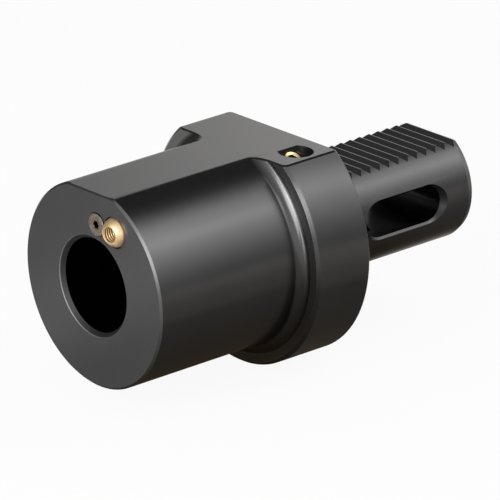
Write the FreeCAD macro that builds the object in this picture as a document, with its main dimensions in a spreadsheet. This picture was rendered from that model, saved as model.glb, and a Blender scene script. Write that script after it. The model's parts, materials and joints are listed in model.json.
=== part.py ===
"""Turret tool holder with a toothed cylindrical shank, size 40, and a Morse taper 4 socket.

Frame, in millimetres: the origin is on the tool's axis in the collar's rear seat face,
+X runs along the axis towards the end of the shank, and +Z is normal to the milled flat.
"""
import FreeCAD, Part
import math
import os
import Sketcher
from types import SimpleNamespace

Vector = FreeCAD.Vector

SIZES = [
    # Round body, from the front face back to the end of the shank
    ("nose_radius", 34.0, "front cylinder that holds the socket"),
    ("nose_length", 58.0, "front face to the collar's front face"),
    ("nose_chamfer", 0.7, "edge break of the front face"),
    ("root_fillet", 3.5, "fillet between nose and collar"),
    ("collar_step", 7.5, "how far the collar stands out past the nose, to 83 mm across"),
    ("collar_thickness", 22.0, "collar along the axis"),
    ("collar_front_chamfer", 1.0, "front rim of the collar"),
    ("collar_rear_chamfer", 0.8, "rear rim of the collar"),
    ("shank_radius", 20.0, "cylindrical shank, size 40"),
    ("shank_length", 63.0, "seat face to the end of the shank"),
    ("shank_chamfer", 0.7, "lead-in at the end of the shank, across"),
    ("shank_chamfer_length", 2.0, "lead-in along the axis"),
    ("centre_hole_radius", 3.2, "mouth of the 60 degree centre hole in the shank's end"),
    # Milled flat along nose and collar
    ("flat_drop", 2.0, "how far the flat lies below the top of the nose"),
    ("flat_chamfer", 0.5, "edge break round the flat"),
    # Morse taper 4 socket with its drift slot
    ("socket_radius", 15.6335, "taper at the front face, 31.267 mm across"),
    ("socket_taper", 19.254, "length over which the diameter shrinks by one"),
    ("mouth_radius", 16.55, "outer edge of the chamfered mouth"),
    ("mouth_break", 0.45, "edge break between the mouth and the front face"),
    ("mouth_length", 1.45, "front face to the inner end of the mouth's chamfer"),
    ("tang_bore_radius", 13.25, "straight bore behind the taper"),
    ("tang_bore_depth", 105.7, "front face to the end of the straight bore"),
    ("drill_point", 7.6, "cone left by the drill"),
    ("slot_setback", 98.0, "front face to the start of the drift slot"),
    ("slot_length", 32.0, "drift slot over its rounded ends"),
    ("slot_width", 12.2, "drift slot across"),
    ("slot_countersink", 1.85, "45 degree edge break that follows the slot at one depth"),
    # Toothed flat on the shank
    ("rack_drop", 4.0, "tooth crests below the top of the shank"),
    ("rack_start", 10.0, "seat face to the first cut of the rack"),
    ("tooth_pitch", 4.0, "crest to crest"),
    ("tooth_height", 1.6, "crest to root"),
    ("tooth_rise", 1.55, "root to crest, on the side that faces the collar"),
    ("tooth_land", 0.35, "flat width of a crest"),
    ("last_crest", 1.1, "last crest to the end of the shank"),
    ("tooth_count", 13, "gaps of the rack"),
    # Seal ring at the root of the shank
    ("groove_start", 3.5, "seat face to the groove"),
    ("groove_width", 3.4, "groove along the axis"),
    ("groove_depth", 2.0, "groove into the shank"),
    ("shank_ring_section", 1.9, "thickness of the seal ring, squeezed as it is in its bore"),
    # Coolant channel and ball nozzle
    ("channel_y", -12.0, "channel axis across"),
    ("channel_z", 21.1, "channel axis above the tool's axis"),
    ("channel_radius", 2.5, "coolant channel"),
    ("ball_radius", 5.0, "swivelling nozzle"),
    ("ball_sink", 1.6, "front face to the ball's centre"),
    ("ball_clearance", 0.2, "ball to the wall of its pocket"),
    ("nozzle_thread_radius", 2.5, "tapped hole through the ball"),
    ("nozzle_chamfer", 0.2, "countersink of the ball's tapped hole"),
    ("nozzle_tilt", 10.0, "degrees between the ball's hole and the tool's axis"),
    ("nozzle_lean", 10.0, "degrees of the lean above the horizontal"),
    ("nozzle_ring_section", 1.5, "thickness of the seal ring behind the ball"),
    ("ring_ease", 0.08, "seal ring to what it seats on"),
    # Countersunk screw that clamps the ball
    ("screw_y", -3.4, "screw axis across"),
    ("screw_z", 21.6, "screw axis above the tool's axis"),
    ("screw_head_radius", 3.75, "countersunk head"),
    ("screw_head_land", 0.45, "straight rim of the head"),
    ("screw_stand", 0.35, "how far the head stands out of the front face"),
    ("screw_thread_radius", 2.0, "thread of the clamp screw"),
    ("screw_length", 12.0, "over the head"),
    ("screw_point_chamfer", 0.5, "edge break of the screw's point"),
    ("screw_clearance", 0.05, "screw to its tapped hole"),
    ("head_clearance", 0.25, "head to its countersink"),
    ("recess_radius", 1.0, "core of the six-lobed recess"),
    ("recess_lobe_radius", 0.4, "one lobe of the recess"),
    ("recess_depth", 1.6, "depth of the recess"),
    # Auxiliary port in the collar, closed by a brass plug
    ("port_setback", 10.45, "seat face to the port's axis"),
    ("port_tilt", 30.0, "degrees between the port's axis and the flat's normal"),
    ("port_floor", 10.44, "channel axis to the spot-faced floor, along the port"),
    ("port_spot_radius", 5.45, "spot face in the flat"),
    ("port_spot_reach", 9.0, "how far out the spot face is cut"),
    ("cross_radius", 2.0, "cross hole down to the channel"),
    ("plug_radius", 3.0, "tapped hole of the plug"),
    ("plug_sink", 0.65, "plug below the spot-faced floor"),
    ("plug_length", 5.0, "length of the plug"),
    ("plug_clearance", 0.05, "plug to its tapped hole"),
    ("plug_seat", 0.2, "plug to the end of its tapped hole"),
    ("plug_chamfer", 0.4, "edge break of the plug"),
    ("plug_key", 3.0, "across the flats of its hexagon socket"),
    ("plug_key_depth", 2.4, "depth of the hexagon socket"),
]

CUT_MARGIN = 1.0
RING_FLATS = 8
RECESS_LOBES = 6
BREAK_ANGLE = 45.0
EDGE_TOLERANCE = 0.02


class Size:
    """A number together with the expression that binds it to the sheet."""

    def __init__(self, text, value):
        self.text = text
        self.value = value

    def joined(self, other, sign, result, swapped=False):
        first, second = (other, self) if swapped else (self, other)
        return Size("(%s %s %s)" % (first.text, sign, second.text), result)

    def __add__(self, other):
        other = as_size(other)
        return self.joined(other, "+", self.value + other.value)

    def __radd__(self, other):
        return as_size(other) + self

    def __sub__(self, other):
        other = as_size(other)
        return self.joined(other, "-", self.value - other.value)

    def __rsub__(self, other):
        return as_size(other) - self

    def __mul__(self, other):
        other = as_size(other)
        return self.joined(other, "*", self.value * other.value)

    def __rmul__(self, other):
        return as_size(other) * self

    def __truediv__(self, other):
        other = as_size(other)
        return self.joined(other, "/", self.value / other.value)

    def __neg__(self):
        return Size("(0 - %s)" % self.text, -self.value)


def as_size(value):
    return value if isinstance(value, Size) else Size("%.9g" % value, float(value))


def root(size):
    return Size("sqrt(%s)" % size.text, math.sqrt(size.value))


doc = FreeCAD.newDocument("turret_tool_holder")
sheet = doc.addObject("Spreadsheet::Sheet", "sizes")


def fill_sheet():
    """Writes the driving sizes into the sheet and gives them back by name."""
    for row, (alias, value, meaning) in enumerate(SIZES, start=1):
        sheet.set("A%d" % row, meaning)
        sheet.set("B%d" % row, str(value))
        sheet.setAlias("B%d" % row, alias)
    doc.recompute()
    return SimpleNamespace(**{alias: Size("sizes." + alias, float(sheet.get(alias)))
                              for alias, value, meaning in SIZES})


S = fill_sheet()

# Places along and across the tool's axis that several pieces share
FACE_X = -(S.nose_length + S.collar_thickness)
COLLAR_X = -S.collar_thickness
COLLAR_RADIUS = S.nose_radius + S.collar_step
FLAT_Z = S.nose_radius - S.flat_drop
CREST_Z = S.shank_radius - S.rack_drop
ROOT_Z = CREST_Z - S.tooth_height
BALL_X = FACE_X + S.ball_sink
POCKET_RADIUS = S.ball_radius + S.ball_clearance
NOZZLE_RING_RADIUS = S.ball_radius - S.nozzle_ring_section / 2
RING_REACH = S.ball_radius + S.nozzle_ring_section / 2 + S.ring_ease
RING_SETBACK = root(RING_REACH * RING_REACH - NOZZLE_RING_RADIUS * NOZZLE_RING_RADIUS)
POCKET_FLOOR_X = BALL_X + RING_SETBACK + S.nozzle_ring_section / 2 + S.ring_ease
HEAD_X = FACE_X - S.screw_stand
PORT_X = -S.port_setback
SLOT_X = FACE_X + S.slot_setback


def bind(item, prop, size):
    item.setExpression(prop, as_size(size).text)


def new_body(name):
    body = doc.addObject("PartDesign::Body", name)
    body.Label = name
    return body


def origin_feature(body, role):
    return next(item for item in body.Origin.OriginFeatures if item.Role == role)


def sketch_on(body, name, role, offset=None, turn=None):
    """A sketch on one of the body's own origin planes, moved and turned in that plane."""
    sketch = body.newObject("Sketcher::SketchObject", name)
    sketch.AttachmentSupport = [(origin_feature(body, role), "")]
    sketch.MapMode = "FlatFace"
    if offset:
        for axis, size in zip("xyz", offset):
            bind(sketch, "AttachmentOffset.Base." + axis, size)
    if turn:
        sketch.AttachmentOffset = FreeCAD.Placement(
            sketch.AttachmentOffset.Base, FreeCAD.Rotation(Vector(0, 0, 1), turn.value))
        bind(sketch, "AttachmentOffset.Rotation.Angle", turn)
    return sketch


def hold_point(sketch, shape, point, place):
    """Fixes one point of a sketch shape at a place whose two coordinates are sizes."""
    for kind, axis, size in zip(("DistanceX", "DistanceY"), (-2, -1), place):
        if isinstance(size, Size):
            constraint = Sketcher.Constraint(kind, -1, 1, shape, point, size.value)
            index = sketch.addConstraint(constraint)
            sketch.setExpression("Constraints[%d]" % index, size.text)
        else:
            sketch.addConstraint(Sketcher.Constraint("PointOnObject", shape, point, axis))


def number(size):
    return size.value if isinstance(size, Size) else float(size)


def polygon(sketch, places):
    """A closed outline through the places; a coordinate of plain 0 lies on the sketch's axis."""
    count = len(places)
    corners = [Vector(number(along), number(across), 0) for along, across in places]
    for index in range(count):
        sketch.addGeometry(Part.LineSegment(corners[index], corners[(index + 1) % count]), False)
    for index in range(count):
        sketch.addConstraint(
            Sketcher.Constraint("Coincident", index, 2, (index + 1) % count, 1))
    for index, place in enumerate(places):
        hold_point(sketch, index, 1, place)


def circle(sketch, centre, radius):
    middle = Vector(number(centre[0]), number(centre[1]), 0)
    shape = sketch.addGeometry(Part.Circle(middle, Vector(0, 0, 1), radius.value), False)
    hold_point(sketch, shape, 3, centre)
    index = sketch.addConstraint(Sketcher.Constraint("Radius", shape, radius.value))
    sketch.setExpression("Constraints[%d]" % index, radius.text)


def long_hole(sketch, start, end, radius):
    """A slot along the sketch's first axis, between the centres of its two round ends."""
    normal = Vector(0, 0, 1)
    quarter = math.pi / 2
    first = Part.Circle(Vector(start.value, 0, 0), normal, radius.value)
    second = Part.Circle(Vector(end.value, 0, 0), normal, radius.value)
    sketch.addGeometry(Part.ArcOfCircle(first, quarter, 3 * quarter), False)
    sketch.addGeometry(Part.ArcOfCircle(second, -quarter, quarter), False)
    for side in (-1, 1):
        height = side * radius.value
        sketch.addGeometry(Part.LineSegment(Vector(start.value, height, 0),
                                            Vector(end.value, height, 0)), False)
    for arc, arc_point, line, line_point in ((0, 2, 2, 1), (1, 1, 2, 2), (0, 1, 3, 1), (1, 2, 3, 2)):
        sketch.addConstraint(Sketcher.Constraint("Tangent", arc, arc_point, line, line_point))
    for arc, place in ((0, start), (1, end)):
        hold_point(sketch, arc, 3, (place, 0))
        index = sketch.addConstraint(Sketcher.Constraint("Radius", arc, radius.value))
        sketch.setExpression("Constraints[%d]" % index, radius.text)


def turned(body, name, sketch, axis, cut=False):
    kind = "PartDesign::Groove" if cut else "PartDesign::Revolution"
    feature = body.newObject(kind, name)
    feature.Profile = sketch
    feature.ReferenceAxis = (sketch, [axis])
    feature.Angle = 360.0
    return finished(feature, cut)


def milled_through(body, name, sketch):
    feature = body.newObject("PartDesign::Pocket", name)
    feature.Profile = sketch
    feature.Type = "ThroughAll"
    feature.SideType = "Symmetric"
    return finished(feature, True)


def finished(feature, cut=False):
    """Recomputes a feature and makes sure that a cut really took material away."""
    doc.recompute()
    if cut and feature.Shape.Volume >= feature.BaseFeature.Shape.Volume:
        raise RuntimeError(feature.Label + " removes nothing")
    return feature


def edges_where(shape, test):
    """Names of the edges all of whose sampled points pass a test; a cone's tip has none."""
    return ["Edge%d" % (index + 1) for index, edge in enumerate(shape.Edges)
            if not edge.Degenerated and all(test(point) for point in edge.discretize(5))]


def dressed(body, kind, name, base, edges, prop, size):
    if not edges:
        raise RuntimeError(name + " finds no edge")
    feature = body.newObject(kind, name)
    feature.Base = (base, edges)
    setattr(feature, prop, size.value)
    bind(feature, prop, size)
    return finished(feature)


def near(first, second):
    return abs(first - second) < EDGE_TOLERANCE


def across(point):
    """Distance of a point from the tool's axis."""
    return math.hypot(point.y, point.z)


def turn_outer_shape(body):
    groove_end = S.groove_start + S.groove_width
    groove_bottom = S.shank_radius - S.groove_depth
    sketch = sketch_on(body, "outer_profile", "XZ_Plane")
    polygon(sketch, [
        (FACE_X, 0),
        (FACE_X, S.nose_radius - S.nose_chamfer),
        (FACE_X + S.nose_chamfer, S.nose_radius),
        (COLLAR_X, S.nose_radius),
        (COLLAR_X, COLLAR_RADIUS - S.collar_front_chamfer),
        (COLLAR_X + S.collar_front_chamfer, COLLAR_RADIUS),
        (-S.collar_rear_chamfer, COLLAR_RADIUS),
        (0, COLLAR_RADIUS - S.collar_rear_chamfer),
        (0, S.shank_radius),
        (S.groove_start, S.shank_radius),
        (S.groove_start, groove_bottom),
        (groove_end, groove_bottom),
        (groove_end, S.shank_radius),
        (S.shank_length - S.shank_chamfer_length, S.shank_radius),
        (S.shank_length, S.shank_radius - S.shank_chamfer),
        (S.shank_length, S.centre_hole_radius),
        (S.shank_length - S.centre_hole_radius * math.sqrt(3), 0),
    ])
    turning = turned(body, "turned_body", sketch, "H_Axis")
    corner = edges_where(turning.Shape, lambda p: near(p.x, COLLAR_X.value)
                         and near(across(p), S.nose_radius.value))
    return dressed(body, "PartDesign::Fillet", "root_fillet", turning, corner,
                   "Radius", S.root_fillet)


def mill_flat(body):
    """The flat runs over nose and collar, and the edge break follows its whole border."""
    sketch = sketch_on(body, "flat_profile", "XZ_Plane")
    top = COLLAR_RADIUS + CUT_MARGIN
    polygon(sketch, [(FACE_X - CUT_MARGIN, FLAT_Z), (as_size(CUT_MARGIN), FLAT_Z),
                     (as_size(CUT_MARGIN), top), (FACE_X - CUT_MARGIN, top)])
    flat = milled_through(body, "milled_flat", sketch)
    border = edges_where(flat.Shape, lambda p: near(p.z, FLAT_Z.value))
    return dressed(body, "PartDesign::Chamfer", "flat_edge_break", flat, border,
                   "Size", S.flat_chamfer)


def bore_socket(body):
    taper_end = (S.socket_radius - S.tang_bore_radius) * 2 * S.socket_taper
    mouth_end_radius = S.socket_radius - S.mouth_length / (2 * S.socket_taper)
    bore_end = FACE_X + S.tang_bore_depth
    sketch = sketch_on(body, "socket_profile", "XZ_Plane")
    polygon(sketch, [
        (FACE_X, 0),
        (FACE_X, S.mouth_radius + S.mouth_break),
        (FACE_X + S.mouth_break, S.mouth_radius),
        (FACE_X + S.mouth_length, mouth_end_radius),
        (FACE_X + taper_end, S.tang_bore_radius),
        (bore_end, S.tang_bore_radius),
        (bore_end + S.drill_point, 0),
    ])
    return turned(body, "taper_socket", sketch, "H_Axis", cut=True)


def mill_drift_slot(body):
    """The slot through the shank, then the edge break that a 45 degree cutter leaves.

    The cutter stays at one depth, so on the round shank the break is widest at the slot's ends.
    """
    half = S.slot_width / 2
    first_end = SLOT_X + half
    second_end = SLOT_X + S.slot_length - half
    sketch = sketch_on(body, "slot_profile", "XZ_Plane")
    long_hole(sketch, first_end, second_end, half)
    milled_through(body, "drift_slot", sketch)
    for name, reach in (("near", S.shank_radius), ("far", -S.shank_radius)):
        rim = sketch_on(body, name + "_break_profile", "XZ_Plane", offset=(0, 0, reach))
        long_hole(rim, first_end, second_end, half + S.slot_countersink)
        edge_break = body.newObject("PartDesign::Pocket", name + "_slot_break")
        edge_break.Profile = rim
        edge_break.Type = "Length"
        bind(edge_break, "Length", S.slot_countersink)
        edge_break.TaperAngle = -BREAK_ANGLE
        edge_break.Reversed = name == "far"
        finished(edge_break, True)


def mill_rack(body):
    """Crests at one height, then one tooth gap repeated back from the end of the shank."""
    top = S.shank_radius + CUT_MARGIN
    end = S.shank_length + CUT_MARGIN
    bed = sketch_on(body, "rack_bed_profile", "XZ_Plane")
    polygon(bed, [(S.rack_start - CUT_MARGIN, top), (S.rack_start + S.rack_drop, CREST_Z),
                  (end, CREST_Z), (end, top)])
    milled_through(body, "rack_bed", bed)
    crest = S.shank_length - S.last_crest
    lip = CREST_Z + CUT_MARGIN
    gap = sketch_on(body, "tooth_gap_profile", "XZ_Plane")
    polygon(gap, [
        (crest + S.tooth_land, lip),
        (crest + S.tooth_land, CREST_Z),
        (crest + S.tooth_pitch - S.tooth_rise, ROOT_Z),
        (crest + S.tooth_pitch, CREST_Z),
        (crest + S.tooth_pitch, lip),
    ])
    first = milled_through(body, "tooth_gap", gap)
    rack = body.newObject("PartDesign::LinearPattern", "rack_teeth")
    rack.Originals = [first]
    rack.Direction = (gap, ["H_Axis"])
    rack.Reversed = True
    bind(rack, "Length", S.tooth_pitch * (S.tooth_count - 1))
    bind(rack, "Occurrences", S.tooth_count)
    body.Tip = rack
    return finished(rack)


def drill_nozzle_pocket(body):
    """Pocket of the ball, the step of its seal ring and the channel to the seat face."""
    sketch = sketch_on(body, "nozzle_pocket_profile", "XZ_Plane",
                       offset=(0, S.channel_z, -S.channel_y))
    polygon(sketch, [
        (FACE_X - CUT_MARGIN, 0),
        (FACE_X - CUT_MARGIN, POCKET_RADIUS),
        (POCKET_FLOOR_X, POCKET_RADIUS),
        (POCKET_FLOOR_X, S.channel_radius),
        (as_size(CUT_MARGIN), S.channel_radius),
        (as_size(CUT_MARGIN), 0),
    ])
    return turned(body, "nozzle_pocket", sketch, "H_Axis", cut=True)


def drill_screw_hole(body):
    head = S.screw_head_radius + S.head_clearance
    thread = S.screw_thread_radius + S.screw_clearance
    cone_start = HEAD_X + S.screw_head_land
    bottom = HEAD_X + S.screw_length + CUT_MARGIN
    sketch = sketch_on(body, "screw_hole_profile", "XZ_Plane",
                       offset=(0, S.screw_z, -S.screw_y))
    polygon(sketch, [
        (FACE_X - CUT_MARGIN, 0),
        (FACE_X - CUT_MARGIN, head),
        (cone_start, head),
        (cone_start + head - thread, thread),
        (bottom, thread),
        (bottom, 0),
    ])
    return turned(body, "screw_hole", sketch, "H_Axis", cut=True)


def drill_port(body):
    """Tilted spot face, tapped hole and cross hole, on an axis that meets the channel."""
    thread_end = S.port_floor - S.plug_sink - S.plug_length - S.plug_seat
    spot_end = S.port_floor + S.port_spot_reach
    sketch = sketch_on(body, "port_profile", "YZ_Plane",
                       offset=(S.channel_y, S.channel_z, PORT_X), turn=S.port_tilt)
    polygon(sketch, [
        (0, 0),
        (S.cross_radius, 0),
        (S.cross_radius, thread_end),
        (S.plug_radius, thread_end),
        (S.plug_radius, S.port_floor),
        (S.port_spot_radius, S.port_floor),
        (S.port_spot_radius, spot_end),
        (0, spot_end),
    ])
    return turned(body, "port", sketch, "V_Axis", cut=True)


def holder_body():
    body = new_body("holder_body")
    turn_outer_shape(body)
    mill_flat(body)
    bore_socket(body)
    mill_drift_slot(body)
    mill_rack(body)
    drill_nozzle_pocket(body)
    drill_screw_hole(body)
    drill_port(body)
    return body


def seal_ring(name, ring_radius, section, place):
    """A ring round a line parallel to the tool's axis.

    Its section is squeezed to eight flats that touch the section's circle, one of them towards
    the bottom of the groove and one at 45 degrees towards whatever it seals against.
    """
    body = new_body(name)
    corner = section / 2 / math.cos(math.pi / RING_FLATS)
    sketch = sketch_on(body, name + "_section", "XZ_Plane")
    turns = [2 * math.pi * (index + 0.5) / RING_FLATS for index in range(RING_FLATS)]
    polygon(sketch, [(corner * math.cos(turn), ring_radius + corner * math.sin(turn))
                     for turn in turns])
    turned(body, name + "_turned", sketch, "H_Axis")
    for axis, size in zip("xyz", place):
        bind(body, "Placement.Base." + axis, size)
    return body


def shank_seal_ring():
    """The ring sits on the bottom of its groove, squeezed until it is flush with the shank."""
    radius = S.shank_radius - S.groove_depth + S.shank_ring_section / 2 + S.ring_ease
    middle = S.groove_start + S.groove_width / 2
    return seal_ring("shank_seal_ring", radius, S.shank_ring_section, (middle, 0, 0))


def nozzle_seal_ring():
    return seal_ring("nozzle_seal_ring", NOZZLE_RING_RADIUS, S.nozzle_ring_section,
                     (BALL_X + RING_SETBACK, S.channel_y, S.channel_z))


def nozzle_ball():
    """A ball with a tapped hole through it, leaning out and up as it was last set."""
    body = new_body("nozzle_ball")
    rim = root(S.ball_radius * S.ball_radius - S.nozzle_thread_radius * S.nozzle_thread_radius)
    sketch = sketch_on(body, "ball_profile", "XY_Plane")
    start = math.acos(rim.value / S.ball_radius.value)
    outline = Part.Circle(Vector(0, 0, 0), Vector(0, 0, 1), S.ball_radius.value)
    sketch.addGeometry(Part.ArcOfCircle(outline, start, math.pi - start), False)
    sketch.addGeometry(Part.LineSegment(Vector(-rim.value, S.nozzle_thread_radius.value, 0),
                                        Vector(rim.value, S.nozzle_thread_radius.value, 0)), False)
    sketch.addConstraint(Sketcher.Constraint("Coincident", 0, 2, 1, 1))
    sketch.addConstraint(Sketcher.Constraint("Coincident", 0, 1, 1, 2))
    sketch.addConstraint(Sketcher.Constraint("Coincident", 0, 3, -1, 1))
    sketch.addConstraint(Sketcher.Constraint("Horizontal", 1))
    radius = sketch.addConstraint(Sketcher.Constraint("Radius", 0, S.ball_radius.value))
    sketch.setExpression("Constraints[%d]" % radius, S.ball_radius.text)
    height = sketch.addConstraint(
        Sketcher.Constraint("DistanceY", -1, 1, 1, 1, S.nozzle_thread_radius.value))
    sketch.setExpression("Constraints[%d]" % height, S.nozzle_thread_radius.text)
    ball = turned(body, "drilled_ball", sketch, "H_Axis")
    rims = edges_where(ball.Shape, lambda p: near(abs(p.x), rim.value)
                       and near(across(p), S.nozzle_thread_radius.value))
    dressed(body, "PartDesign::Chamfer", "thread_countersink", ball, rims,
            "Size", S.nozzle_chamfer)
    lean = math.radians(S.nozzle_lean.value)
    tilt = FreeCAD.Rotation(Vector(0, math.sin(lean), math.cos(lean)), S.nozzle_tilt.value)
    body.Placement = FreeCAD.Placement(Vector(), tilt)
    for axis, size in zip("xyz", (BALL_X, S.channel_y, S.channel_z)):
        bind(body, "Placement.Base." + axis, size)
    bind(body, "Placement.Rotation.Angle", S.nozzle_tilt)
    return body


def nozzle_clamp_screw():
    """Countersunk screw with a six-lobed recess, drawn along its own axis from the head."""
    body = new_body("nozzle_clamp_screw")
    cone_end = S.screw_head_land + S.screw_head_radius - S.screw_thread_radius
    sketch = sketch_on(body, "screw_profile", "XZ_Plane")
    polygon(sketch, [
        (0, 0),
        (0, S.screw_head_radius),
        (S.screw_head_land, S.screw_head_radius),
        (cone_end, S.screw_thread_radius),
        (S.screw_length - S.screw_point_chamfer, S.screw_thread_radius),
        (S.screw_length, S.screw_thread_radius - S.screw_point_chamfer),
        (S.screw_length, 0),
    ])
    turned(body, "turned_screw", sketch, "H_Axis")
    core = sketch_on(body, "recess_core", "YZ_Plane")
    circle(core, (0, 0), S.recess_radius)
    sink(body, "recess", core, S.recess_depth)
    lobe = sketch_on(body, "recess_lobe", "YZ_Plane")
    circle(lobe, (0, S.recess_radius), S.recess_lobe_radius)
    first = sink(body, "lobe", lobe, S.recess_depth)
    lobes = body.newObject("PartDesign::PolarPattern", "lobes")
    lobes.Originals = [first]
    lobes.Axis = (lobe, ["N_Axis"])
    lobes.Angle = 360.0
    lobes.Occurrences = RECESS_LOBES
    body.Tip = lobes
    finished(lobes)
    for axis, size in zip("xyz", (HEAD_X, S.screw_y, S.screw_z)):
        bind(body, "Placement.Base." + axis, size)
    return body


def sink(body, name, sketch, depth):
    """A pocket from the head's face into the screw or the plug, along the sketch's normal."""
    feature = body.newObject("PartDesign::Pocket", name)
    feature.Profile = sketch
    feature.Type = "Length"
    feature.Reversed = True
    bind(feature, "Length", depth)
    return finished(feature, True)


def port_plug():
    """Threaded plug with a hexagon socket, drawn along its own axis from the outer face."""
    body = new_body("port_plug")
    radius = S.plug_radius - S.plug_clearance
    sketch = sketch_on(body, "plug_profile", "XZ_Plane")
    polygon(sketch, [
        (0, 0),
        (0, radius - S.plug_chamfer),
        (S.plug_chamfer, radius),
        (S.plug_length - S.plug_chamfer, radius),
        (S.plug_length, radius - S.plug_chamfer),
        (S.plug_length, 0),
    ])
    turned(body, "turned_plug", sketch, "H_Axis")
    key = sketch_on(body, "key_profile", "YZ_Plane")
    half = S.plug_key / 2
    corner = S.plug_key / math.sqrt(3)
    polygon(key, [(corner, 0), (corner / 2, half), (-corner / 2, half),
                  (-corner, 0), (-corner / 2, -half), (corner / 2, -half)])
    sink(body, "key_socket", key, S.plug_key_depth)
    tilt = math.radians(S.port_tilt.value)
    outward = Vector(0, -math.sin(tilt), math.cos(tilt))
    face = S.port_floor.value - S.plug_sink.value
    middle = Vector(PORT_X.value, S.channel_y.value, S.channel_z.value)
    body.Placement = FreeCAD.Placement(middle + outward * face,
                                       FreeCAD.Rotation(Vector(1, 0, 0), -outward))
    return body


def check_document():
    for item in doc.Objects:
        if "Invalid" in item.State or "Error" in item.State:
            raise RuntimeError(item.Label + " failed: " + ", ".join(item.State))


def write_pieces(pieces):
    os.makedirs("parts", exist_ok=True)
    for piece in pieces:
        shape = piece.Shape
        if shape.isNull() or not shape.isValid() or len(shape.Solids) != 1:
            raise RuntimeError(piece.Label + " isn't one valid solid")
        shape.exportStep(os.path.join("parts", piece.Label + ".step"))
        box = shape.BoundBox
        print("%-20s %9.1f mm3  x %.2f to %.2f  y %.2f to %.2f  z %.2f to %.2f" % (
            piece.Label, shape.Volume, box.XMin, box.XMax, box.YMin, box.YMax, box.ZMin, box.ZMax))


pieces = [holder_body(), shank_seal_ring(), nozzle_seal_ring(), nozzle_ball(),
          nozzle_clamp_screw(), port_plug()]
doc.recompute()
check_document()
write_pieces(pieces)
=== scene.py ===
import json
import math

import bmesh
import bpy
from mathutils import Matrix, Quaternion, Vector


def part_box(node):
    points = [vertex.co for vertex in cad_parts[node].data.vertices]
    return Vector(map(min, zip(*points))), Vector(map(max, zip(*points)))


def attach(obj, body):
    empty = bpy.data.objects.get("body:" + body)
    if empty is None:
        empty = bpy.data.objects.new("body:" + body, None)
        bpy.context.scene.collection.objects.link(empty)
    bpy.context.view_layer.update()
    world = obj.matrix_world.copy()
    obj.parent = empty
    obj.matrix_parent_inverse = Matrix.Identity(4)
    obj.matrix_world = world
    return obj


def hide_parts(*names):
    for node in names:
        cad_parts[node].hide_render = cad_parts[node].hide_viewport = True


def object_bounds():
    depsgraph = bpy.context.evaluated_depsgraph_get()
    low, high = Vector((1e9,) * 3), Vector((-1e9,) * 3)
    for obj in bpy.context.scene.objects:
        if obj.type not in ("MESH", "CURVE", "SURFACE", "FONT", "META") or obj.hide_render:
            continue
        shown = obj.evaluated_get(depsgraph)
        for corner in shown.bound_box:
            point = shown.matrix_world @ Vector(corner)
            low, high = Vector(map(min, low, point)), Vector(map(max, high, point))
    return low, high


# Finishes, threads and seal rings of a turret tool holder, with a studio round it.
# Everything is in metres. +X runs along the tool's axis towards the shank, +Z is normal to the flat.
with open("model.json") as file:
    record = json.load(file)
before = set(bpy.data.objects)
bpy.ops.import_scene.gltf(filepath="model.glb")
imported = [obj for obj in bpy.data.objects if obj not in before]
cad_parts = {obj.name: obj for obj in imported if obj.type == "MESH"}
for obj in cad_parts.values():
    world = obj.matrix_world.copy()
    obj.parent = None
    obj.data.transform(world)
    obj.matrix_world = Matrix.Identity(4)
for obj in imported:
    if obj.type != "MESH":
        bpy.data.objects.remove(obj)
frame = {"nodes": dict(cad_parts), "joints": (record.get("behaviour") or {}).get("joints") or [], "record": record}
cad_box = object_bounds()

MM = 0.001
NODES = frame["nodes"]
JOINTS = {joint["name"]: joint for joint in frame["joints"]}
MOUNTS = {mount["name"]: mount for mount in frame["record"]["mounts"]}


def box_middle(node):
    low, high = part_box(node)
    return (Vector(low) + Vector(high)) / 2


def box_size(node):
    low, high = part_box(node)
    return Vector(high) - Vector(low)


# Sizes of the real pieces that the frame doesn't name
NOSE_RADIUS = 34.0 * MM
COLLAR_X = -22.0 * MM
FILLET_RADIUS = 3.5 * MM
BALL_RADIUS = 5.0 * MM
PLUG_LENGTH = 5.0 * MM
PLUG_RADIUS = 2.95 * MM
PLUG_DISH = 0.27 * MM

# Places and sizes that follow from the frame and from those
LOWEST, HIGHEST = (Vector(corner) for corner in cad_box)
FACE_X = MOUNTS["taper_socket"]["pos_m"][0]
FLAT_Z = MOUNTS["top_flat"]["pos_m"][2]
SHANK_RADIUS = MOUNTS["shank"]["dims"]["r_mm"] * MM
FILLET_X = COLLAR_X - FILLET_RADIUS
FILLET_REACH = NOSE_RADIUS + FILLET_RADIUS
BALL_CENTRE = Vector(JOINTS["nozzle_tilt"]["pos_m"])
BALL_AXIS = Vector(MOUNTS["nozzle_thread"]["axis"])
BALL_THREAD_RADIUS = MOUNTS["nozzle_thread"]["dims"]["r_mm"] * MM
SCREW_HEAD = Vector(JOINTS["clamp_screw_turn"]["pos_m"])
PLUG_AXIS = Vector(JOINTS["plug_unscrew"]["axis"])
PLUG_FACE = box_middle("port_plug") + PLUG_AXIS * (PLUG_LENGTH / 2)


# Shader maths

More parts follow.
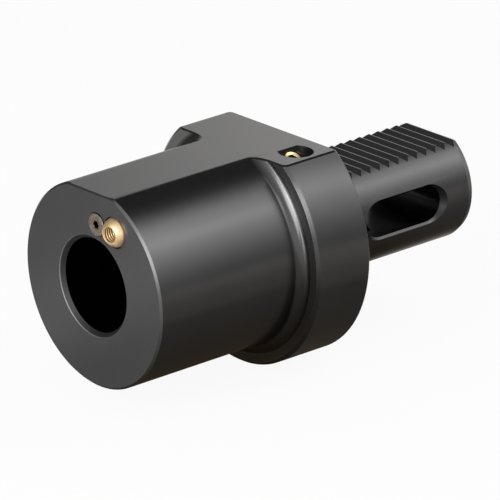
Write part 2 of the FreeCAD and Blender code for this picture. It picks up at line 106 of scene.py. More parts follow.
class Wire:
    """An output socket that takes part in Python expressions as a Math node."""

    def __init__(self, finish, socket):
        self.finish = finish
        self.socket = socket

    def math(self, operation, *others):
        return self.finish.add("ShaderNodeMath", {"operation": operation}, (self, *others))

    def __add__(self, other):
        return self.math("ADD", other)

    def __radd__(self, other):
        return self.math("ADD", other)

    def __sub__(self, other):
        return self.math("SUBTRACT", other)

    def __rsub__(self, other):
        return self.finish.add("ShaderNodeMath", {"operation": "SUBTRACT"}, (other, self))

    def __mul__(self, other):
        return self.math("MULTIPLY", other)

    def __rmul__(self, other):
        return self.math("MULTIPLY", other)

    def __truediv__(self, other):
        return self.math("DIVIDE", other)

    def __pow__(self, other):
        return self.math("POWER", other)

    def clamped(self):
        return self.math("MAXIMUM", 0.0).math("MINIMUM", 1.0)

    def ramp(self, start, end):
        """0 before start, 1 after end, smooth between them."""
        settings = {"interpolation_type": "SMOOTHSTEP"}
        return self.finish.add("ShaderNodeMapRange", settings, {
            "Value": self, "From Min": start, "From Max": end, "To Min": 0.0, "To Max": 1.0})


class Finish:
    """A node tree under construction, by default a new material's: one method adds every node."""

    def __init__(self, name, tree=None):
        if tree is None:
            self.material = bpy.data.materials.new(name)
            self.material.use_nodes = True
            tree = self.material.node_tree
        tree.nodes.clear()
        self.tree = tree

    def add(self, kind, settings=None, inputs=(), output=0):
        node = self.tree.nodes.new(kind)
        for name, value in (settings or {}).items():
            setattr(node, name, value)
        pairs = inputs.items() if isinstance(inputs, dict) else enumerate(inputs)
        for key, value in pairs:
            if isinstance(value, Wire):
                self.tree.links.new(value.socket, node.inputs[key])
            else:
                node.inputs[key].default_value = value
        return Wire(self, node.outputs[output]) if node.outputs else node

    def place(self):
        return self.add("ShaderNodeTexCoord", output="Object")

    def split(self, vector):
        node = self.add("ShaderNodeSeparateXYZ", None, (vector,)).socket.node
        return [Wire(self, socket) for socket in node.outputs]

    def attribute(self, name):
        return self.add("ShaderNodeAttribute", {"attribute_name": name}, output="Fac")

    def noise(self, vector, scale, detail=2.0, roughness=0.5, dimensions="3D"):
        """Noise with about scale waves to the metre."""
        return self.add("ShaderNodeTexNoise", {"noise_dimensions": dimensions}, {
            "W" if dimensions == "1D" else "Vector": vector,
            "Scale": scale, "Detail": detail, "Roughness": roughness})

    def vector(self, operation, first, second):
        return self.add("ShaderNodeVectorMath", {"operation": operation}, (first, second))

    def length(self, vector, along=None):
        """Length of a vector, or how far it reaches along a direction."""
        if along is None:
            return self.add("ShaderNodeVectorMath", {"operation": "LENGTH"}, (vector,), "Value")
        return self.add("ShaderNodeVectorMath", {"operation": "DOT_PRODUCT"}, (vector, along), "Value")

    def distance(self, place, point):
        return self.length(self.vector("SUBTRACT", place, point))

    def mix(self, factor, first, second):
        return self.add("ShaderNodeMix", {"data_type": "RGBA"}, {0: factor, 6: first, 7: second}, 2)

    def bump(self, height, distance, strength=1.0, normal=None):
        inputs = {"Height": height, "Distance": distance, "Strength": strength}
        if normal is not None:
            inputs["Normal"] = normal
        return self.add("ShaderNodeBump", None, inputs)

    def surface(self, **sockets):
        names = {name.replace("_", " ").title(): value for name, value in sockets.items()}
        shader = self.add("ShaderNodeBsdfPrincipled", None, names)
        self.add("ShaderNodeOutputMaterial", None, {"Surface": shader})
        return self.material


# Finishes

OXIDE_DARK = (0.084, 0.084, 0.087, 1.0)
OXIDE_LIGHT = (0.120, 0.119, 0.120, 1.0)
OXIDE_RUBBED = (0.130, 0.130, 0.133, 1.0)
# Painted shade for the holder's bores, holes and creases
OXIDE_PAINTED_SHADE = (0.030, 0.029, 0.029, 1.0)
# Painted glint for the socket's lip, also mixed part way into the collar's front ring to make it paler
OXIDE_PALE_AND_PAINTED_GLINT = (0.250, 0.247, 0.244, 1.0)
NOZZLE_BRIGHT = (1.0, 0.755, 0.44, 1.0)
NOZZLE_TARNISH = (1.0, 0.46, 0.13, 1.0)
PLUG_BRIGHT = (1.0, 0.80, 0.48, 1.0)
PLUG_TARNISH = (0.75, 0.50, 0.22, 1.0)
# Painted shade in the brass's thread grooves and behind the plug's face
BRASS_PAINTED_SHADE = (0.150, 0.065, 0.018, 1.0)
SCREW_DARK = (0.070, 0.050, 0.038, 1.0)
SCREW_LIGHT = (0.190, 0.148, 0.120, 1.0)
SCREW_FLECK = (0.60, 0.53, 0.47, 1.0)
# Painted shade in the screw's recess and behind its head's face
SCREW_PAINTED_SHADE = (0.016, 0.013, 0.012, 1.0)
RUBBER_DARK = (0.010, 0.010, 0.011, 1.0)
RUBBER_LIGHT = (0.022, 0.022, 0.023, 1.0)

# Marks that each face of the holder carries for its finish and its painted shade and glint, from 0 to 1
FACE_MARKS = ("milled", "edge_break", "painted_face_shade", "mouth", "ring")


def black_oxide_steel():
    """Turned, milled and ground steel, blackened: the edge breaks are rubbed brighter.

    Bores and holes are darker with painted shade, and the socket's mouth, the slot's walls and edges,
    the breaks along the flat and the collar's front edge have less of it. The outer lip of the socket's
    mouth has a painted glint, and the collar's front face, a narrow ring, is paler. The front of the nose
    is duller and has painted shade on one side of the ball.
    """
    finish = Finish("black_oxide_steel")
    place = finish.place()
    x, y, z = finish.split(place)
    radius = (y * y + z * z) ** 0.5
    milled, edge, painted_face_shade, mouth, ring = [finish.attribute(name) for name in FACE_MARKS]

    along = finish.noise(x, scale=9000.0, detail=3.0, roughness=0.7, dimensions="1D")
    out = finish.noise(radius, scale=9000.0, detail=3.0, roughness=0.7, dimensions="1D")
    feed = finish.noise(y + 0.35 * x, scale=7000.0, detail=3.0, roughness=0.6, dimensions="1D")
    cutter_marks = (along + out - 1.0) * (1.0 - milled) + (feed - 0.5) * milled
    cloud = finish.noise(place, scale=55.0, detail=4.0, roughness=0.6)
    grain = finish.noise(place, scale=2600.0, detail=2.0, roughness=0.6)

    near_ball = 1.0 - finish.distance(place, BALL_CENTRE).ramp(BALL_RADIUS + 0.2 * MM,
                                                               BALL_RADIUS + 1.8 * MM)
    # Painted shade on the face beside the ball, on its side towards -Y; the face is also rougher there
    painted_shade_beside_ball = near_ball * (BALL_CENTRE.y - y).ramp(0.0, 3.0 * MM) * 0.8
    # Painted glint along the outer lip of the socket's mouth
    lip = mouth * (1.0 - (x - FACE_X).ramp(0.08 * MM, 0.30 * MM))
    rubbed = edge * (0.62 + 0.5 * grain)
    tone = 0.5 + (cloud - 0.5) * 0.55 + (grain - 0.5) * 0.25 + cutter_marks * 0.12
    oxide = finish.mix(tone.clamped(), OXIDE_DARK, OXIDE_LIGHT)
    worn = finish.mix(rubbed.clamped(), oxide, OXIDE_RUBBED)
    # Painted shade in bores, holes and creases, and beside the ball
    shaded = finish.mix((painted_face_shade + painted_shade_beside_ball).clamped(), worn, OXIDE_PAINTED_SHADE)
    # Painted glint on the lip; the collar's front ring is paler
    color = finish.mix((lip + ring * 0.38).clamped(), shaded, OXIDE_PALE_AND_PAINTED_GLINT)

    dulled = (edge + ring) * 0.10 + mouth * 0.32 + painted_shade_beside_ball * 0.40
    roughness = 0.23 + (cloud - 0.5) * 0.06 + (grain - 0.5) * 0.05 + dulled
    coarse = finish.bump(cutter_marks, distance=0.0014 * MM)
    normal = finish.bump(grain, distance=0.0007 * MM, normal=coarse)
    return finish.surface(base_color=color, metallic=1.0, roughness=roughness, normal=normal)


def brass(name, bright, tarnished, roughness, metallic, painted_shade_mask):
    """Turned brass with fine cutter marks and a cloudy tarnish.

    It has painted shade, dark brown, where the painted_shade_mask function says 1, and is rougher there. Metallic
    below 1 gives it a matt share.
    """
    finish = Finish(name)
    place = finish.place()
    marks = finish.noise(place, scale=3800.0, detail=2.0, roughness=0.6)
    tarnish = finish.noise(place, scale=420.0, detail=3.0, roughness=0.55).ramp(0.40, 0.80)
    face = finish.mix(tarnish * 0.45, bright, tarnished)
    # Painted shade where the mask says 1; it is also rougher there
    dull_and_painted_shade = painted_shade_mask(finish, place).clamped()
    color = finish.mix(dull_and_painted_shade, face, BRASS_PAINTED_SHADE)
    rough = roughness + (marks - 0.5) * 0.10 + tarnish * 0.06 + dull_and_painted_shade * 0.25
    normal = finish.bump(marks, distance=0.0035 * MM)
    return finish.surface(base_color=color, metallic=metallic, roughness=rough, normal=normal)


def thread_grooves(finish, place):
    """Where shade is painted on the ball: the grooves of its thread, within the ball and further out than the
    crests.
    """
    from_centre = finish.vector("SUBTRACT", place, BALL_CENTRE)
    radius = finish.length(finish.vector("CROSS_PRODUCT", from_centre, BALL_AXIS))
    groove = radius.ramp(BALL_THREAD_RADIUS + 0.04 * MM, BALL_THREAD_RADIUS + 0.26 * MM)
    skin = finish.length(from_centre).ramp(BALL_RADIUS - 0.20 * MM, BALL_RADIUS - 0.03 * MM)
    return groove * (1.0 - skin)


def behind_plug_face(finish, place):
    """Where shade is painted on the plug: everything on it that lies further in than its dished face."""
    depth = finish.length(finish.vector("SUBTRACT", place, PLUG_FACE), along=-PLUG_AXIS)
    return depth.ramp(PLUG_DISH + 0.05 * MM, PLUG_DISH + 0.15 * MM)


def nozzle_brass():
    return brass("nozzle_brass", NOZZLE_BRIGHT, NOZZLE_TARNISH, roughness=0.28, metallic=0.85,
                 painted_shade_mask=thread_grooves)


def plug_brass():
    return brass("plug_brass", PLUG_BRIGHT, PLUG_TARNISH, roughness=0.34, metallic=1.0,
                 painted_shade_mask=behind_plug_face)


def oiled_screw_steel():
    """A hardened screw: brown-grey with lighter rubbed flecks, and black with painted shade behind its face."""
    finish = Finish("screw_steel")
    place = finish.place()
    x = finish.split(place)[0]
    cloud = finish.noise(place, scale=1100.0, detail=4.0, roughness=0.7)
    flecks = finish.noise(place, scale=3000.0, detail=3.0, roughness=0.65).ramp(0.52, 0.62)
    rim = finish.distance(place, SCREW_HEAD).ramp(0.9 * MM, 3.2 * MM)
    base = finish.mix(cloud, SCREW_DARK, SCREW_LIGHT)
    face = finish.mix(flecks * (0.25 + 0.6 * rim), base, SCREW_FLECK)
    # Painted shade on all of the screw that lies behind its head's face: the recess, the head's side and the shank
    painted_shade_mask = (x - SCREW_HEAD.x).ramp(0.02 * MM, 0.16 * MM)
    color = finish.mix(painted_shade_mask, face, SCREW_PAINTED_SHADE)
    rough = 0.40 + (cloud - 0.5) * 0.25
    normal = finish.bump(cloud, distance=0.04 * MM, strength=0.8)
    return finish.surface(base_color=color, metallic=0.95, roughness=rough, normal=normal)


def seal_rubber():
    """Matt black rubber with a fine grain."""
    finish = Finish("seal_rubber")
    grain = finish.noise(finish.place(), scale=5200.0, detail=3.0, roughness=0.6)
    color = finish.mix(grain, RUBBER_DARK, RUBBER_LIGHT)
    normal = finish.bump(grain, distance=0.01 * MM, strength=0.6)
    return finish.surface(base_color=color, roughness=0.55 + (grain - 0.5) * 0.2, normal=normal)


# Mesh making

SHARP_ANGLE = math.radians(32)
HOLDER_SHARP_ANGLE = math.radians(18)
LATHE_SIDES = 96


def as_object(name, mesh, material):
    piece = bpy.data.objects.new(name, mesh)
    bpy.context.scene.collection.objects.link(piece)
    mesh.materials.clear()
    mesh.materials.append(material)
    return piece


def bake(piece, modifier):
    """Gives the piece the mesh that its modifier makes, without the modifier."""
    bpy.context.view_layer.update()
    graph = bpy.context.evaluated_depsgraph_get()
    mesh = bpy.data.meshes.new_from_object(piece.evaluated_get(graph), depsgraph=graph)
    piece.modifiers.remove(modifier)
    piece.data = mesh


def smooth(piece, angle=SHARP_ANGLE):
    mesh = piece.data
    mesh.shade_smooth()
    mesh.set_sharp_from_angle(angle=angle)


def frame_along(origin, axis, up=Vector((0, 0, 1))):
    """Matrix that puts local +X on the axis, with local +Z as near to up as it can be."""
    forward = axis.normalized()
    side = up.cross(forward).normalized()
    top = forward.cross(side)
    turn = Matrix((forward, side, top)).transposed().to_4x4()
    return Matrix.Translation(origin) @ turn


def spread(start, end, count):
    return [start + (end - start) * step / count for step in range(count + 1)]


def round_shape(angle):
    return 1.0


def hexagon_shape(angle):
    """Radius of a hexagon, in units of half its width across the flats."""
    step = math.pi / 3
    return 1.0 / math.cos((angle + step / 2) % step - step / 2)


def lobed_shape(angle):
    """Radius of a six-lobed recess, in units of its mean radius."""
    return 1.0 + 0.14 * math.cos(6 * angle)


def station(x, radius, shape=round_shape, thread=0.0):
    """One step of a lathe's profile.

    The shape makes the section other than round, and thread is how much of a thread's depth the
    station takes.
    """
    return x, radius, shape, thread


def run_out(x, start, end, length):
    """How much of its depth a thread has at x: it fades over the given length at both ends."""
    return max(0.0, min(1.0, (x - start) / length, (end - x) / length))


def lathe(name, stations, material, sides=LATHE_SIDES, closed=False):
    """Turns a profile about local X. An open profile starts and ends on the axis."""
    mesh = bmesh.new()
    weight = mesh.verts.layers.float.new("thread")
    rings = []
    for x, radius, shape, thread in stations:
        if radius == 0:
            ring = [mesh.verts.new((x, 0, 0))]
        else:
            ring = []
            for side in range(sides):
                angle = 2 * math.pi * side / sides
                reach = radius * shape(angle)
                ring.append(mesh.verts.new((x, reach * math.cos(angle), reach * math.sin(angle))))
        for vertex in ring:
            vertex[weight] = thread
        rings.append(ring)
    pairs = list(zip(rings, rings[1:]))
    if closed:
        pairs.append((rings[-1], rings[0]))
    for first, second in pairs:
        for side in range(sides):
            after = (side + 1) % sides
            corners = [first[side % len(first)], first[after % len(first)],
                       second[after % len(second)], second[side % len(second)]]
            mesh.faces.new(list(dict.fromkeys(corners)))
    bmesh.ops.recalc_face_normals(mesh, faces=mesh.faces)
    data = bpy.data.meshes.new(name)
    mesh.to_mesh(data)
    mesh.free()
    return as_object(name, data, material)


# Thread, as a tree of geometry nodes

def thread_tree():
    """Moves points out or in along the radius, by a thread's flank at their place."""
    tree = bpy.data.node_groups.new("cut_thread", "GeometryNodeTree")
    face = tree.interface
    face.new_socket("Geometry", in_out="INPUT", socket_type="NodeSocketGeometry")
    kinds = {"Pitch": "NodeSocketFloat", "Depth": "NodeSocketFloat", "Crest": "NodeSocketFloat",
             "Finish": "NodeSocketMaterial"}
    sockets = {name: face.new_socket(name, in_out="INPUT", socket_type=kind).identifier
               for name, kind in kinds.items()}
    face.new_socket("Geometry", in_out="OUTPUT", socket_type="NodeSocketGeometry")
    make = Finish("cut_thread", tree)
    entry = tree.nodes.new("NodeGroupInput")
    geometry, pitch, depth, crest, finish = [Wire(make, socket) for socket in entry.outputs[:5]]
    position = make.add("GeometryNodeInputPosition")
    x, y, z = make.split(position)
    turn = z.math("ARCTAN2", y) / (2 * math.pi)
    phase = (x / pitch - turn).math("FRACT")
    flank = 1.0 - (phase * 2.0 - 1.0).math("ABSOLUTE")
    profile = ((flank - crest) / (1.0 - 2.0 * crest)).clamped()
    weight = make.add("GeometryNodeInputNamedAttribute", {"data_type": "FLOAT"}, {"Name": "thread"})
    radius = (y * y + z * z) ** 0.5
    growth = 1.0 + profile * weight * depth / radius.math("MAXIMUM", 0.001 * MM)
    moved = make.add("ShaderNodeCombineXYZ", None, (x, y * growth, z * growth))
    placed = make.add("GeometryNodeSetPosition", None, {"Geometry": geometry, "Position": moved})
    real = make.add("GeometryNodeRealizeInstances", None, {"Geometry": placed})
    dressed = make.add("GeometryNodeSetMaterial", None, {"Geometry": real, "Material": finish})
    leave = tree.nodes.new("NodeGroupOutput")
    tree.links.new(dressed.socket, leave.inputs[0])
    return tree, sockets


THREAD_TREE, THREAD_SOCKETS = thread_tree()


def cut_thread(piece, pitch, depth, crest=0.12):
    """Runs the thread tree on a turned piece that still lies along local X."""
    material = piece.data.materials[0]
    modifier = piece.modifiers.new("thread", "NODES")
    modifier.node_group = THREAD_TREE
    values = {"Pitch": pitch, "Depth": depth, "Crest": crest, "Finish": material}
    for name, value in values.items():
        modifier[THREAD_SOCKETS[name]] = value
    bake(piece, modifier)
    if not piece.data.materials:
        piece.data.materials.append(material)


def settle(piece, place, body, node):
    """Puts the place into the mesh, then lets the piece stand for its node and ride its body."""
    piece.data.transform(place)
    smooth(piece)
    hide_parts(node)
    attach(piece, body)


# The holder's faces

# Bounds for a face's place on the holder
TOLERANCE = 0.01 * MM
MOUTH_DEPTH = 2.0 * MM
COLLAR_EDGE_DEPTH = 3.0 * MM
FLAT_BREAK_REACH = 0.5 * MM
NOZZLE_HOLES_FROM, NOZZLE_HOLES_TO = 17.3 * MM, 31.0 * MM
NOZZLE_HOLES_END = FACE_X * 0.3
SLOT_WALL_REACH = 6.3 * MM
SLOT_WALL_END = HIGHEST.x - 5.0 * MM

# Bounds for a single component of a face's normal
LEVEL = math.cos(math.radians(2))
FACING = 0.97
SQUARE = 0.02


def face_marks(middle, normal):
    """The marks of one face, told from its middle and its normal."""
    reach = math.hypot(middle.y, middle.z)
    outward = (normal.y * middle.y + normal.z * middle.z) / max(reach, MM)
    on_shank = middle.x > MM
    rack = on_shank and middle.z > SHANK_RADIUS * 0.6 and abs(normal.y) < SQUARE
    flat = normal.z > LEVEL or rack
    slanted = 0.25 < abs(normal.x) < FACING and not rack
    flat_break = not slanted and 0.3 < normal.z < FACING and abs(middle.z - FLAT_Z) < FLAT_BREAK_REACH

    mouth = slanted and outward < -0.2 and middle.x < FACE_X + MOUTH_DEPTH and reach < SHANK_RADIUS
    bore = outward < -0.5 and reach < SHANK_RADIUS * 0.8 and not mouth
    nozzle_holes = (FACE_X + 0.1 * MM < middle.x < NOZZLE_HOLES_END
                    and NOZZLE_HOLES_FROM < reach < NOZZLE_HOLES_TO)

    ring = abs(middle.x - COLLAR_X) < TOLERANCE and normal.x < -FACING
    fillet = FILLET_X - 0.1 * MM < middle.x < COLLAR_X - TOLERANCE and outward > 0
    collar_front = COLLAR_X + TOLERANCE < middle.x < COLLAR_X + COLLAR_EDGE_DEPTH
    collar_edge = collar_front and slanted and reach > FILLET_REACH
    turned_break = slanted and outward > 0.2 and reach > SHANK_RADIUS * 0.9
    edge = turned_break and not fillet and not collar_front

    slot_wall = (on_shank and abs(middle.z) < SLOT_WALL_REACH and abs(normal.y) < SQUARE
                 and middle.x < SLOT_WALL_END)
    slot_break = (on_shank and reach > SHANK_RADIUS * 0.88 and 0.5 < abs(normal.y) < 0.9
                  and outward < 0.93)
    slot_break_dark = min(0.8, 1.6 * abs(normal.x)) if normal.z > 0.3 else 0.7

    # How much painted shade each kind of face gets, most in bores and holes
    darkness = ((bore or nozzle_holes, 1.0), (mouth, 0.8), (slot_break, slot_break_dark),
                (slot_wall, 0.55), (collar_edge, 0.25), (flat_break, 0.15), (True, 0.0))
    painted_face_shade = next(dark for applies, dark in darkness if applies)
    return float(flat or slot_break), float(edge), painted_face_shade, float(mouth), float(ring)


def mark_faces(mesh):
    """Writes the marks of every face into the mesh, for the finish to read."""
    rows = [face_marks(face.center, face.normal) for face in mesh.polygons]
    for name, values in zip(FACE_MARKS, zip(*rows)):
        mesh.attributes.new(name, "FLOAT", "FACE").data.foreach_set("value", values)


def round_fillet(mesh):
    """Gives the fillet before the collar the normals of a true round, whatever its facets."""
    normals = [corner.vector.copy() for corner in mesh.corner_normals]
    for face in mesh.polygons:
        exact = []
        for index in face.vertices:
            spot = mesh.vertices[index].co
            reach = max(math.hypot(spot.y, spot.z), MM)
            inward = Vector((FILLET_X - spot.x, 0, 0))
            inward += Vector((0, spot.y, spot.z)) * ((FILLET_REACH - reach) / reach)
            exact.append(inward)
        on_fillet = all(abs(inward.length - FILLET_RADIUS) < 2 * TOLERANCE and inward.x < TOLERANCE / 10
                        for inward in exact)
        if on_fillet and face.center.x > FILLET_X and face.normal.dot(sum(exact, Vector())) > 0:
            for corner, inward in zip(face.loop_indices, exact):
                normals[corner] = inward.normalized()
    mesh.normals_split_custom_set(normals)


# Pieces

def holder_body(material):
    """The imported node's own shape, merged so that its round faces shade smoothly."""
    mesh = NODES["holder_body"].data.copy()
    mesh.name = "blackened_holder"
    work = bmesh.new()
    work.from_mesh(mesh)
    bmesh.ops.remove_doubles(work, verts=work.verts, dist=0.001 * MM)
    work.to_mesh(mesh)
    work.free()
    for attribute in [a for a in mesh.attributes if a.name.startswith("custom_normal")]:
        mesh.attributes.remove(attribute)
    mark_faces(mesh)
    piece = as_object("blackened_holder", mesh, material)
    smooth(piece, HOLDER_SHARP_ANGLE)
    weighted = piece.modifiers.new("face_weighted", "WEIGHTED_NORMAL")
    weighted.keep_sharp = True
    weighted.weight = 100
    bake(piece, weighted)
    round_fillet(piece.data)
    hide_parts("holder_body")
    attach(piece, "holder")


def seal_ring(name, node, material, body, sides=128, section_sides=20):
    """A round-sectioned ring along X, as large as its node."""
    size = box_size(node)
    section = size.x / 2
    middle = box_middle(node)
    reach = size.z / 2 - section
    angles = [2 * math.pi * side / section_sides for side in range(section_sides)]
    profile = [station(section * math.cos(angle), reach + section * math.sin(angle))
               for angle in angles]
    ring = lathe(name, profile, material, sides, closed=True)
    settle(ring, Matrix.Translation(middle), body, node)


def coolant_ball(material):
    """The swivelling nozzle: a ball with an M6 thread right through it."""
    pitch, depth = 1.0 * MM, 0.52 * MM
    sink = 0.18 * MM
    rim = BALL_THREAD_RADIUS + sink
    start = math.asin(rim / BALL_RADIUS)
    wall_end = math.sqrt(BALL_RADIUS * BALL_RADIUS - rim * rim) - sink
    arc_steps, wall_steps = 56, 112
    arc = [station(BALL_RADIUS * math.cos(angle), BALL_RADIUS * math.sin(angle))
           for angle in spread(start, math.pi - start, arc_steps)]
    wall = [station(x, BALL_THREAD_RADIUS, thread=run_out(x, -wall_end, wall_end, 0.4 * pitch))
            for x in spread(-wall_end, wall_end, wall_steps)]
    ball = lathe("swivelling_nozzle", arc + wall, material, closed=True)
    cut_thread(ball, pitch, depth)
    settle(ball, frame_along(BALL_CENTRE, BALL_AXIS), "nozzle", "nozzle_ball")


def clamp_screw(material):
    """Countersunk screw with a rounded rim, a six-lobed recess and an M4 thread."""
    length = box_size("nozzle_clamp_screw").x
    head = box_size("nozzle_clamp_screw").y / 2
    thread, pitch, depth = 2.0 * MM, 0.7 * MM, 0.4 * MM
    land, recess, recess_depth = 0.45 * MM, 1.28 * MM, 1.6 * MM
    cone_end = land + head - thread
    thread_start, thread_end = cone_end + 0.3 * MM, length - 0.5 * MM
    thread_steps = 132

    stations = [station(recess_depth, 0, lobed_shape),
                station(recess_depth, recess * 0.5, lobed_shape),
                station(recess_depth * 0.92, recess * 0.96, lobed_shape)]
    stations += [station(x, recess, lobed_shape) for x in spread(recess_depth * 0.85, 0.10 * MM, 6)]
    stations += [station(0.02 * MM, recess + 0.03 * MM, lobed_shape),
                 station(0, recess + 0.08 * MM, lobed_shape)]
    stations += [station(0, radius) for radius in spread(recess + 0.5 * MM, head - 0.14 * MM, 5)]
    stations += [station(0.04 * MM, head - 0.04 * MM), station(0.12 * MM, head), station(land, head)]
    stations += [station(x, head - (x - land)) for x in spread(land, cone_end, 6)[1:]]
    stations += [station(x, thread, thread=run_out(x, thread_start, thread_end, pitch))
                 for x in spread(thread_start, thread_end, thread_steps)]
    stations += [station(length, thread - 0.5 * MM), station(length, 0)]

    screw = lathe("nozzle_screw", stations, material)
    cut_thread(screw, pitch, -depth)
    place = frame_along(SCREW_HEAD, Vector((1, 0, 0)))
    settle(screw, place, "clamp_screw", "nozzle_clamp_screw")


def port_plug(material):
    """Threaded brass plug with a slightly dished face and a hexagon socket."""
    pitch, depth, edge = 1.0 * MM, 0.5 * MM, 0.4 * MM
    key, key_depth = 1.5 * MM, 2.4 * MM
    thread_start, thread_end = edge, PLUG_LENGTH - edge
    thread_steps = 72

    stations = [station(key_depth + 0.5 * MM, 0), station(key_depth, key * 0.96)]
    stations += [station(x, key, hexagon_shape)
                 for x in spread(key_depth, PLUG_DISH + 0.05 * MM, 5)]
    stations += [station(PLUG_DISH, key * 1.03, hexagon_shape), station(PLUG_DISH * 0.6, key * 1.30),
                 station(0.0, PLUG_RADIUS - edge)]
    stations += [station(x, PLUG_RADIUS, thread=run_out(x, thread_start, thread_end, 0.5 * pitch))
                 for x in spread(thread_start, thread_end, thread_steps)]
    stations += [station(PLUG_LENGTH, PLUG_RADIUS - edge), station(PLUG_LENGTH, 0)]

    plug = lathe("channel_plug", stations, material)
    cut_thread(plug, pitch, -depth)
    place = frame_along(PLUG_FACE, -PLUG_AXIS, Vector((1, 0, 0)))
    settle(plug, place, "plug", "port_plug")


# Studio: angles are in degrees, and places on the papers in metres

WHITE = (1.0, 1.0, 1.0, 1.0)
FLOOR_MATT = (0.90, 0.90, 0.89, 1.0)
FLOOR_SIZE = 6.0
FLOOR_WHITE_SHARE = 0.93
ROOM_LIGHT = 0.45
LAMPS_AIM = Vector((-0.010, 0.0, 0.0))
WARM_WHITE = (1.0, 0.96, 0.92)

# Painted shadow of the part on the floor that reflections see
PAINTED_SHADOW_BENEATH = (0.050, 0.034, 0.018, 1.0)
PAPER_TINT = (1.0, 0.985, 0.97, 1.0)
PAPER_PEAK = 6.0
PAPER_BLACK = (0.0, 0.0, 0.0, 1.0)
PAPER_LOW_Z = LOWEST.z + 0.2 * MM
LEFT_PAPER_Z = PAPER_LOW_Z + 0.2 * MM
CEILING_Z = 0.56
SCRIM_Y = -0.45
BACKDROP_Y = 0.40
BACKDROP_TOP_Z = 0.42

CAMERA_TARGET = Vector((-0.015640, -0.000076, -0.004940))
CAMERA_AZIMUTH = -129.312
CAMERA_ELEVATION = 20.596
CAMERA_ROLL = -1.94
CAMERA_DISTANCE = 1.98789
CAMERA_REACH = 20.0
SENSOR = 36.0
FOCAL_PIXELS = 6187.2
IMAGE_PIXELS = 500


def seen_background(finish):
    """1 for rays that should meet the plain white background, 0 for rays that only light."""
    path = finish.add("ShaderNodeLightPath").socket.node
    camera, glossy, through = [Wire(finish, path.outputs[name]) for name in (
        "Is Camera Ray", "Is Glossy Ray", "Is Transmission Ray")]
    return camera.math("MAXIMUM", glossy).math("MAXIMUM", through)


def white_room():
    """White where it is seen, and a soft light from all round."""
    world = bpy.data.worlds.new("white_room")
    bpy.context.scene.world = world
    world.use_nodes = True
    finish = Finish("white_room", world.node_tree)
    seen = seen_background(finish)
    light = finish.add("ShaderNodeBackground", None, {"Color": WHITE, "Strength": ROOM_LIGHT})
    white = finish.add("ShaderNodeBackground", None, {"Color": WHITE, "Strength": 1.0})
    both = finish.add("ShaderNodeMixShader", None, (seen, light, white))
    finish.add("ShaderNodeOutputWorld", None, {"Surface": both})


def plain_floor():
    """Pale floor: nearly white where it is seen, and still darker where the part shades it."""
    mesh = bpy.data.meshes.new("floor")
    corners = [(-FLOOR_SIZE, -FLOOR_SIZE), (FLOOR_SIZE, -FLOOR_SIZE), (FLOOR_SIZE, FLOOR_SIZE),
               (-FLOOR_SIZE, FLOOR_SIZE)]
    mesh.from_pydata([(x, y, LOWEST.z) for x, y in corners], [], [(0, 1, 2, 3)])
    finish = Finish("pale_floor")
    seen = seen_background(finish)
    matt = finish.add("ShaderNodeBsdfDiffuse", None, {"Color": FLOOR_MATT})
    white = finish.add("ShaderNodeEmission", None, {"Color": WHITE, "Strength": 1.0})
    both = finish.add("ShaderNodeMixShader", None, (seen * FLOOR_WHITE_SHARE, matt, white))
    finish.add("ShaderNodeOutputMaterial", None, {"Surface": both})
    as_object("floor", mesh, finish.material)


def towards(azimuth, elevation):
    """Direction whose azimuth is counted from +X towards +Y."""
    around, above = math.radians(azimuth), math.radians(elevation)
    return Vector((math.cos(around) * math.cos(above), math.sin(around) * math.cos(above),
                   math.sin(above)))


def softbox(name, azimuth, elevation, distance, width, height, radiance, color=WHITE[:3]):
    """A soft light that looks at the part; radiance 1 renders as white in a mirror."""
    light = bpy.data.lights.new(name, "AREA")
    light.shape = "RECTANGLE"
    light.size = width
    light.size_y = height
    light.energy = radiance * math.pi * width * height
    light.color = color
    lamp = bpy.data.objects.new(name, light)
    bpy.context.scene.collection.objects.link(lamp)
    direction = towards(azimuth, elevation)
    lamp.location = LAMPS_AIM + direction * distance
    lamp.rotation_euler = direction.to_track_quat("Z", "Y").to_euler()
    return lamp


def paper(name, low, high, shade, dark=PAPER_BLACK):
    """A glowing sheet that only reflections see, in place of the grey paper hung round bright metal in a
    studio: the light and shade on it are painted into its glow.

    It fills the box between two corners, which is flat along one axis. The shade is a function
    that turns the place on the sheet into its brightness, from the dark colour up.
    """
    fixed = next(axis for axis in range(3) if low[axis] == high[axis])
    first, second = [axis for axis in range(3) if axis != fixed]
    corners = []
    for along, across in ((low, low), (high, low), (high, high), (low, high)):
        corner = list(low)
        corner[first] = along[first]
        corner[second] = across[second]
        corners.append(corner)
    mesh = bpy.data.meshes.new(name)
    mesh.from_pydata(corners, [], [(0, 1, 2, 3)])
    finish = Finish(name)
    brightness = shade(*finish.split(finish.place()))
    dimmed = [part / PAPER_PEAK for part in dark[:3]] + [1.0]
    tint = finish.mix(brightness / PAPER_PEAK, dimmed, PAPER_TINT)
    shader = finish.add("ShaderNodeEmission", None, {"Color": tint, "Strength": PAPER_PEAK})
    finish.add("ShaderNodeOutputMaterial", None, {"Surface": shader})
    sheet = as_object(name, mesh, finish.material)
    sheet.visible_camera = False
    sheet.visible_diffuse = False
    sheet.visible_transmission = False
    sheet.visible_shadow = False


def glow(x, y):
    """A painted pool of light on the floor close to the side light."""
    return (0.0 - x).ramp(0.19, 0.32) * y.ramp(-0.14, -0.05) * 5.0


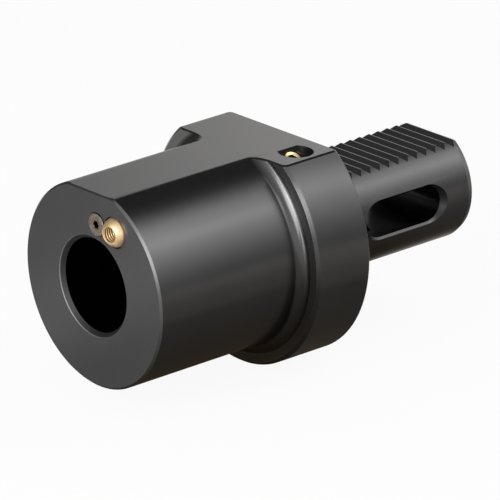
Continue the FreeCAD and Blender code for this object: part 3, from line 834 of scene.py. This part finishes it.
def front_floor(x, y, z):
    """Painted shadow of the part, dark under it, with a small step to a paler stretch in front, and paler to the
    sides.
    """
    out = 0.0 - y
    # Painted shadow under the part
    under = out.ramp(0.0, 0.065) * 0.145
    step = out.ramp(0.0765, 0.0795) * 0.11
    far = out.ramp(0.050, 0.250) * 0.17
    left = (0.0 - x).ramp(0.066, 0.145) * 0.34
    right = x.ramp(0.030, 0.100) * 0.08
    far_right = x.ramp(0.12, 0.25) * y.ramp(-0.16, -0.06) * 0.5
    behind = x.ramp(0.02, 0.07) * y.ramp(-0.01, 0.03) * 0.5
    return under + step + far + left + right + far_right + behind + glow(x, y)


def left_floor(x, y, z):
    """A paler stripe across the part of the floor that the front face mirrors."""
    stripe = y.ramp(0.030, 0.075) * 0.26 - y.ramp(0.085, 0.130) * 0.18
    return stripe + 0.52 + glow(x, y) * (1.0 - y.ramp(0.06, 0.18))


def ceiling(x, y, z):
    """Bright above the face, dark above the collar, and lit by the front lamp on the right."""
    out = 0.0 - y
    above = 0.85 - ((x + y) * 0.7).ramp(-0.5, 0.30) * 0.76
    lit = out.ramp(0.04, 0.40) * x.ramp(0.05, 0.25) * 2.2
    right = x.ramp(0.40, 0.46) * (out.ramp(0.0, 0.10) - out.ramp(0.16, 0.26)) * 0.30
    dip = x.ramp(0.380, 0.415) - x.ramp(0.56, 0.62)
    return above + lit * (1.0 - dip * 0.32) + right


def front_scrim(x, y, z):
    """A diffuser before the front lamp: brightest at the lamp's height, dimmer for the collar."""
    across = x - z * z * 0.67
    dip = across.ramp(0.268, 0.292) - across.ramp(0.360, 0.400)
    lit = 0.42 + z.ramp(-0.04, 0.45) * 1.95 + z.ramp(0.34, 0.46) * 0.50
    return lit * (1.0 - dip * 0.42)


def backdrop(x, y, z):
    """Paler to the right. The round behind the flat mirrors its dark left, and the rack its top."""
    rack = z.ramp(0.33, 0.38) * (1.0 - x.ramp(0.10, 0.16)) * 0.24
    return 0.14 + x.ramp(0.06, 0.16) * 0.44 + x.ramp(0.18, 0.38) * 0.56 + rack


def photograph_camera():
    """The photograph's viewpoint, worked out from the holder's known sizes."""
    data = bpy.data.cameras.new("camera")
    data.sensor_width = SENSOR
    data.lens = FOCAL_PIXELS / IMAGE_PIXELS * SENSOR
    data.clip_end = CAMERA_REACH
    camera = bpy.data.objects.new("camera", data)
    bpy.context.scene.collection.objects.link(camera)
    back = towards(CAMERA_AZIMUTH, CAMERA_ELEVATION)
    level = back.to_track_quat("Z", "Y")
    roll = Quaternion((0, 0, 1), math.radians(CAMERA_ROLL))
    camera.rotation_mode = "QUATERNION"
    camera.rotation_quaternion = level @ roll
    camera.location = CAMERA_TARGET + back * CAMERA_DISTANCE
    bpy.context.scene.camera = camera


def studio():
    white_room()
    plain_floor()
    front_lamp = softbox("front_lamp", azimuth=-40, elevation=38, distance=0.65, width=0.30,
                         height=0.40, radiance=2.6, color=WARM_WHITE)
    front_lamp.visible_glossy = False
    softbox("side_light", azimuth=173, elevation=7, distance=1.0, width=0.42, height=0.32,
            radiance=7.5)
    softbox("fill_light", azimuth=-163, elevation=21, distance=1.0, width=0.66, height=0.60,
            radiance=4.7)
    paper("front_floor_painted_shadow", (-2.0, -2.5, PAPER_LOW_Z), (2.5, 0.035, PAPER_LOW_Z), front_floor,
          PAINTED_SHADOW_BENEATH)
    paper("left_floor_paper", (-2.0, -0.02, LEFT_PAPER_Z), (-0.086, 2.0, LEFT_PAPER_Z), left_floor)
    paper("ceiling_paper", (-1.3, -1.1, CEILING_Z), (1.6, 1.0, CEILING_Z), ceiling)
    paper("scrim_paper", (0.03, SCRIM_Y, PAPER_LOW_Z), (1.6, SCRIM_Y, CEILING_Z), front_scrim)
    paper("backdrop_paper", (-0.7, BACKDROP_Y, PAPER_LOW_Z), (0.75, BACKDROP_Y, BACKDROP_TOP_Z),
          backdrop)
    photograph_camera()


def main():
    bpy.context.scene.view_settings.view_transform = "Standard"
    holder_body(black_oxide_steel())
    rubber = seal_rubber()
    seal_ring("shank_seal", "shank_seal_ring", rubber, "holder")
    seal_ring("nozzle_seal", "nozzle_seal_ring", rubber, "nozzle_seat")
    coolant_ball(nozzle_brass())
    clamp_screw(oiled_screw_steel())
    port_plug(plug_brass())
    studio()


main()
